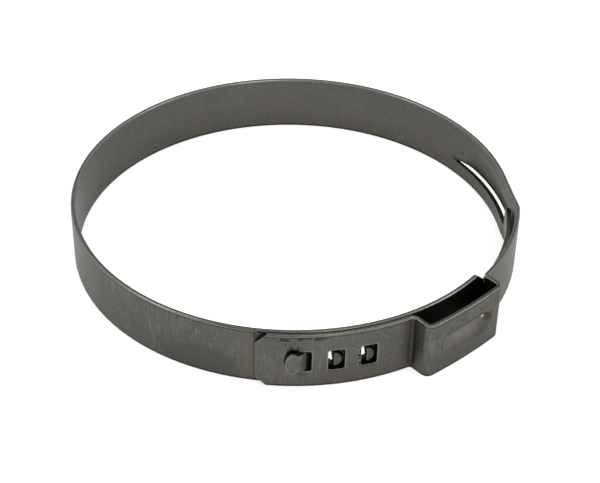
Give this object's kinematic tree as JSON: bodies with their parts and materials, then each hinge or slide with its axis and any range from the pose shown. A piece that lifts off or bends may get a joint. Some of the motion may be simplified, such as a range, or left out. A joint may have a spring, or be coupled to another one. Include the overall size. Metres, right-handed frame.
{
  "type": "boot clamp",
  "caption": "Ring clamp of one stainless strip, hooked to itself, with a raised closing ear, windows, a stepless tongue and a drawn channel.",
  "frame": {"origin": "middle of the bore, at half the width of the strip", "axes": "+Z along the bore axis, which is also the shortest extent; the closing ear faces -Y; +X is to the ear's right seen from outside"},
  "size_m": [0.0736, 0.0771, 0.01],
  "materials": {
    "stainless_strip": "satin, slightly stained mill finish"
  },
  "bodies": {
    "root": {"clamp_band": "stainless_strip"}
  },
  "joints": []
}
